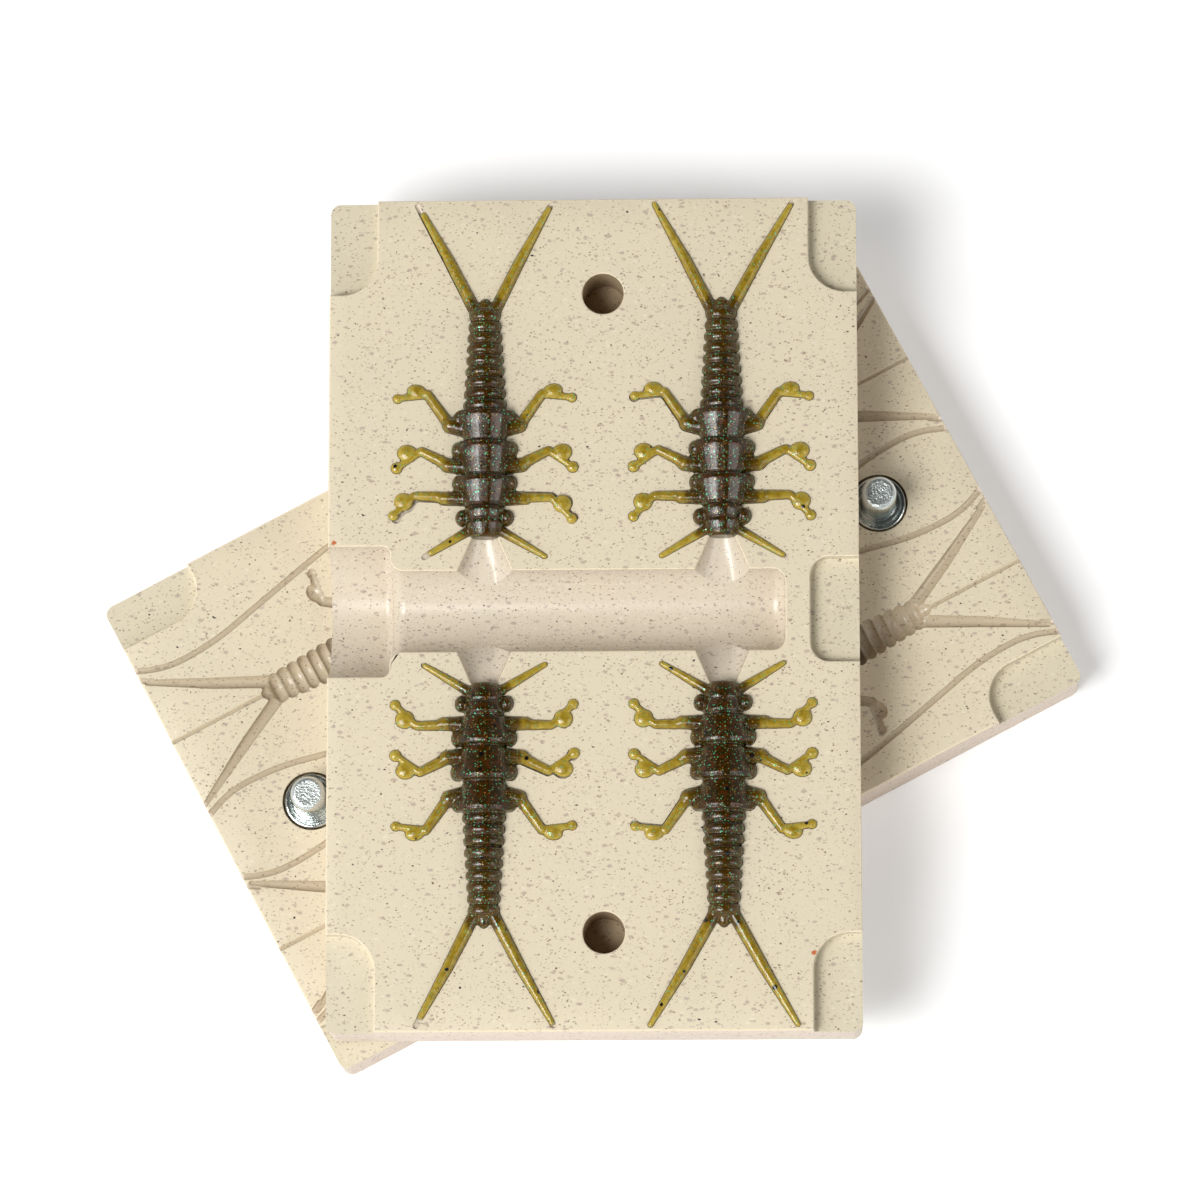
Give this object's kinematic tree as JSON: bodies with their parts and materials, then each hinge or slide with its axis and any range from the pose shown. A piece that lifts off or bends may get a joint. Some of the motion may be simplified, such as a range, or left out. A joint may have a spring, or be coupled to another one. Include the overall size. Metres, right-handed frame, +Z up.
{
  "type": "fishing lure mould",
  "caption": "Open two-part cast-stone mould for soft nymph lures: one half lies across the other between its steel guide pins, with cast lures in its cavities.",
  "frame": {"origin": "centre of the whole object's box on the table, at the lower half's underside", "axes": "+X across the upper half towards its side pocket, away from its injection port; +Y along the upper half's length; +Z up, out of both parting faces"},
  "size_m": [0.1486, 0.1306, 0.0292],
  "materials": {
    "cast_stone": "satin",
    "zinc_steel": "bright zinc plated",
    "soft_plastic": "glossy translucent"
  },
  "bodies": {
    "root": {"lower_mould_half": "cast_stone", "upper_mould_half": "cast_stone", "guide_pin_left": "zinc_steel", "guide_pin_right": "zinc_steel", "cast_lure_back_left": "soft_plastic", "cast_lure_front_left": "soft_plastic", "cast_lure_back_right": "soft_plastic", "cast_lure_front_right": "soft_plastic"}
  },
  "joints": []
}
